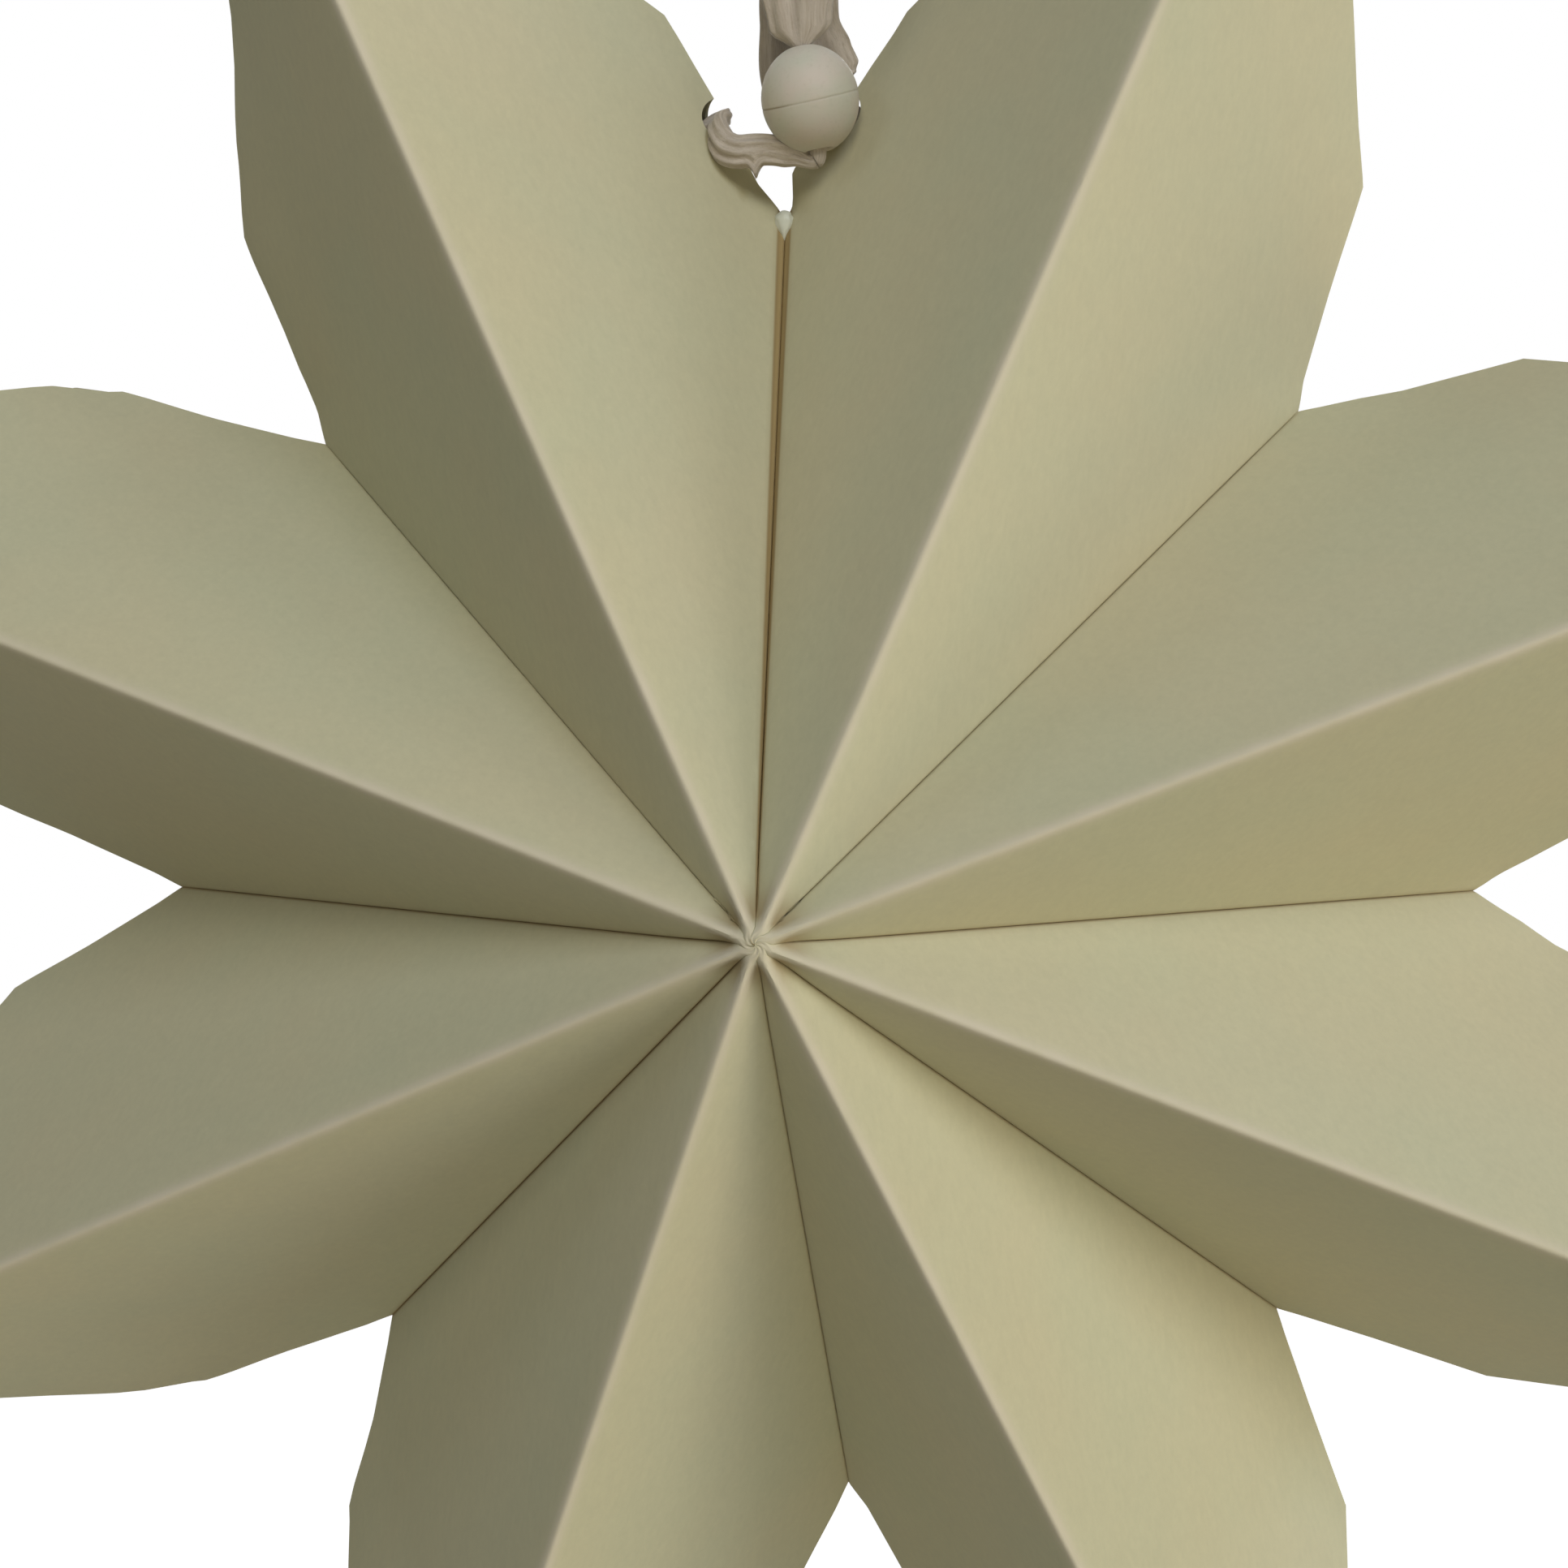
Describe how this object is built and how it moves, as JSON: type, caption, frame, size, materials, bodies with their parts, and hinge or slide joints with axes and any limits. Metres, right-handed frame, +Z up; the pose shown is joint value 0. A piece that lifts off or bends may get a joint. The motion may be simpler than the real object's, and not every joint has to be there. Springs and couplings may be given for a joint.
{
  "type": "folded paper hanging star",
  "caption": "Eight-pointed hanging star of opened paper bags glued side by side, closed at the top by a ribbon with a bead and a hanging loop.",
  "frame": {"origin": "top of the inside of the ribbon's hanging loop, where a hook bears; the star hangs below it", "axes": "+Z up; the star lies in the XZ plane, its front faces -Y, and +X is to the right seen from the front"},
  "size_m": [0.238, 0.0824, 0.2537],
  "materials": {
    "kraft_paper": "uncoated greenish-cream kraft paper, matte, fine mottled fibre",
    "bead": "pearly cream with a soft sheen and a fine moulding seam",
    "ribbon": "thin mauve-grey satin organza, gathered"
  },
  "bodies": {
    "root": {"paper_bag_1": "kraft_paper", "paper_bag_2": "kraft_paper", "paper_bag_3": "kraft_paper", "paper_bag_4": "kraft_paper", "paper_bag_5": "kraft_paper", "paper_bag_6": "kraft_paper", "paper_bag_7": "kraft_paper", "paper_bag_8": "kraft_paper", "bead": "bead", "hanging_ribbon": "ribbon", "ribbon_knot_left": "ribbon", "ribbon_knot_right": "ribbon"}
  },
  "joints": []
}
